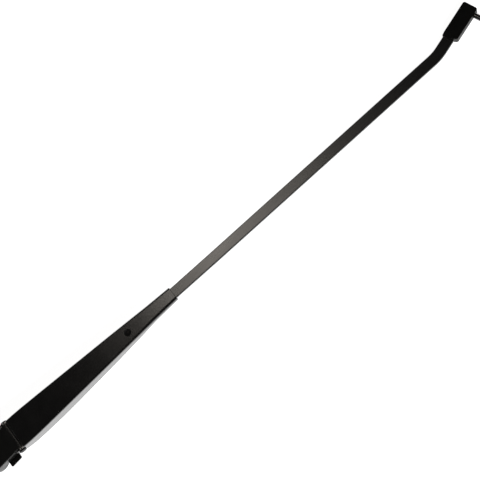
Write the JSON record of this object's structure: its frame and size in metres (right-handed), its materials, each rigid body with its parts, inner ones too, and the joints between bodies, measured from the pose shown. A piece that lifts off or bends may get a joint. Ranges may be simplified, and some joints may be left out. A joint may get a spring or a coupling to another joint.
{
  "type": "windscreen wiper arm",
  "caption": "Windscreen wiper arm: splined socket head with slide latch, sprung hinged retainer, flat bar bent near the tip, and a side blade pin.",
  "frame": {"origin": "on the spindle axis, at the mouth of the splined bush", "axes": "+X towards the blade end, +Z along the spindle away from the glass, -Y towards the side of the latch tab and blade pin"},
  "size_m": [0.5788, 0.039, 0.0219],
  "materials": {
    "black_paint": "semi-gloss",
    "bar_paint": "satin",
    "plated_steel": "zinc plated",
    "spring_steel": "oiled",
    "sintered_steel": "machined",
    "bush_plastic": "moulded"
  },
  "bodies": {
    "head": {"mounting_head": "black_paint", "splined_bush": "sintered_steel", "latch_washer": "plated_steel", "latch_rivet": "plated_steel", "hinge_bush_left": "bush_plastic", "hinge_bush_right": "bush_plastic", "spring_anchor_pin": "plated_steel"},
    "latch": {"release_latch": "black_paint"},
    "arm": {"retainer": "black_paint", "hinge_pin": "black_paint", "bar_rivet": "black_paint", "wiper_bar": "bar_paint", "blade_block": "black_paint", "blade_pin": "black_paint"},
    "link": {"spring_link": "spring_steel"},
    "spring": {"tension_spring": "spring_steel"}
  },
  "joints": [
    {"name": "arm_lift", "type": "hinge", "parent": "head", "child": "arm", "pos_m": [0.0292, 0, 0.0041], "axis": [0, -1, 0], "range_deg": [0, 60], "deforming": ["tension_spring"]},
    {"name": "latch_slide", "type": "slide", "parent": "head", "child": "latch", "axis": [0, -1, 0], "range_m": [0, 0.006]},
    {"name": "link_swing", "type": "hinge", "parent": "head", "child": "link", "pos_m": [0.02582, 0, -0.00315], "axis": [0, -1, 0], "range_deg": [0, 56.58]},
    {"name": "spring_swing", "type": "hinge", "parent": "arm", "child": "spring", "pos_m": [0.1265, 0, -0.0009], "axis": [0, -1, 0], "range_deg": [-3.82, 0]}
  ],
  "couplings": [
    {"joint": "link_swing", "follows": "arm_lift", "ratio": 0.9396},
    {"joint": "spring_swing", "follows": "arm_lift", "ratio": -0.0604}
  ]
}
